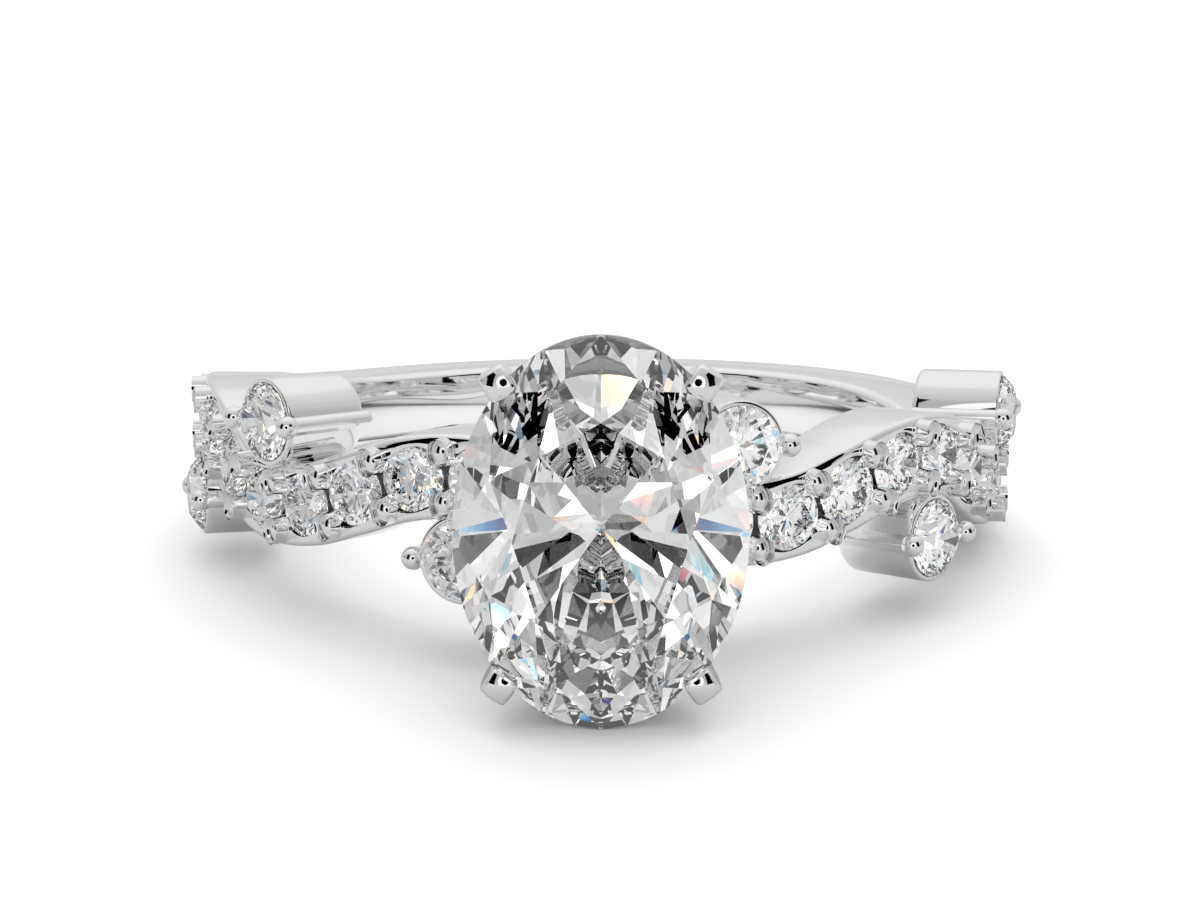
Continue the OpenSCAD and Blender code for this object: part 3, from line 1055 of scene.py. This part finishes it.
def add_light(scene):
    """Studio of soft white light with a few cards. The metal, the stones and the floor each have their own
    light in it."""
    world = bpy.data.worlds.new("studio")
    scene.world = world
    world.use_nodes = True
    tree = world.node_tree
    nodes, links = tree.nodes, tree.links
    direction = nodes.new("ShaderNodeTexCoord").outputs["Generated"]
    path = nodes.new("ShaderNodeLightPath")
    colour = metal_light(tree, direction)
    lens = LIE @ toward(0, degrees(scene.ring_stage.elevation))
    start, end = (cos(radians(LENS_CARD + soft)) for soft in (LENS_SOFT, -LENS_SOFT))
    dark = ramp(tree, along(tree, direction, lens), start, end, 0, 1)
    dark = maths(tree, "MULTIPLY", dark, path.outputs["Is Singular Ray"])
    colour = blend(tree, dark, colour, grey(0))
    colour = blend(tree, path.outputs["Is Transmission Ray"], colour, stone_light(tree, direction))
    above = ramp(tree, along(tree, direction, toward(180, SOFT_BOX)), *SOFT_BOX_RIM, *SOFT_BOX_BRIGHT)
    colour = blend(tree, path.outputs["Is Diffuse Ray"], colour, above)
    colour = blend(tree, path.outputs["Is Camera Ray"], colour, grey(1))
    links.new(colour, nodes["Background"].inputs["Color"])


def metal_light(tree, direction):
    """Light that the metal mirrors: an even studio that is brighter towards the back light, with cards."""
    back = toward(180, BACK_LIGHT)
    unit = tree.nodes.new("ShaderNodeMapRange")
    unit.inputs["From Min"].default_value = -1
    tree.links.new(along(tree, direction, back), unit.inputs["Value"])
    sky = tree.nodes.new("ShaderNodeValToRGB")
    steps = sky.color_ramp
    steps.interpolation = "EASE"
    for k, (where, bright) in enumerate(SKY):
        element = steps.elements[k] if k < 2 else steps.elements.new((where + 1) / 2)
        element.position = (where + 1) / 2
        element.color = grey(bright)
    tree.links.new(unit.outputs["Result"], sky.inputs["Fac"])
    colour = sky.outputs["Color"]
    for azimuth, elevation, half_w, half_h, bright in CARDS:
        mask = card_mask(tree, direction, azimuth, elevation, half_w, half_h)
        colour = blend(tree, mask, colour, grey(bright))
    return colour


def card_mask(tree, direction, azimuth, elevation, half_w, half_h):
    """1 in the directions that a flat card covers, and 0 elsewhere."""
    soft = 0.02
    forward, right = toward(azimuth, elevation), toward(azimuth + 90, 0)
    depth = along(tree, direction, forward)
    across, above = (
        maths(tree, "DIVIDE", along(tree, direction, axis), depth) for axis in (right, forward.cross(right)))
    mask = maths(tree, "GREATER_THAN", depth, 0.05)
    if half_h == 0:
        squares = [maths(tree, "POWER", off, 2) for off in (across, above)]
        off = maths(tree, "SQRT", maths(tree, "ADD", *squares))
        return maths(tree, "MULTIPLY", mask, ramp(tree, off, half_w - soft, half_w, 1, 0))
    for off, half in ((across, half_w), (above, half_h)):
        inside = ramp(tree, maths(tree, "ABSOLUTE", off), half - soft, half, 1, 0)
        mask = maths(tree, "MULTIPLY", mask, inside)
    return mask


def stone_light(tree, direction):
    """Light that comes through the stones, dimmer at the left and below, with round cards in it."""
    right, back, up = (
        along(tree, direction, LIE @ Vector(axis)) for axis in ((1, 0, 0), (0, 1, 0), (0, 0, 1)))
    front = maths(tree, "MULTIPLY", ramp(tree, right, *SIDE_SHADE), ramp(tree, up, *LOW_SHADE))
    colour = blend(tree, ramp(tree, back, *BACK_SHADE), front, grey(BEHIND_STONES))
    for azimuth, elevation, radius, bright, fringe in STONE_CARDS:
        near = along(tree, direction, LIE @ toward(azimuth, elevation))
        radii = [radius + spread for spread in (fringe, 0, -fringe)]
        start, end = ([cos(radians(r + soft)) for r in radii] for soft in (CARD_SOFT, -CARD_SOFT))
        colour = blend(tree, ramp(tree, near, start, end, 0, 1), colour, grey(bright), channels=True)
    return colour


class RING_PT_panel(bpy.types.Panel):
    """Lists the pieces of the ring and their sizes"""

    bl_label = "Ring"
    bl_idname = "RING_PT_panel"
    bl_space_type = "VIEW_3D"
    bl_region_type = "UI"
    bl_category = "Ring"

    def draw(self, context):
        layout = self.layout
        for operator in OPERATORS:
            layout.operator(operator.bl_idname)
        for name, group in GROUPS.items():
            box = layout.box()
            for size in group.__annotations__:
                box.prop(getattr(context.scene, name), size)


GROUPS = {
    "ring_strand": StrandSizes,
    "ring_row": RowSizes,
    "ring_cups": CupSizes,
    "ring_head": HeadSizes,
    "ring_finish": FinishColours,
    "ring_stage": StageSizes,
}
OPERATORS = (
    RING_OT_stage, RING_OT_strand, RING_OT_beads, RING_OT_cups, RING_OT_head, RING_OT_stones)
CLASSES = (*GROUPS.values(), *OPERATORS, RING_PT_panel)


def register():
    for cls in CLASSES:
        bpy.utils.register_class(cls)
    for name, group in GROUPS.items():
        setattr(bpy.types.Scene, name, PointerProperty(type=group))


def unregister():
    for name in GROUPS:
        delattr(bpy.types.Scene, name)
    for cls in reversed(CLASSES):
        bpy.utils.unregister_class(cls)


def main():
    register()
    bpy.ops.ring.stage()
    bpy.ops.ring.strand()
    bpy.ops.ring.beads()
    bpy.ops.ring.cups()
    bpy.ops.ring.head()
    bpy.ops.ring.stones()


if __name__ == "__main__":
    main()
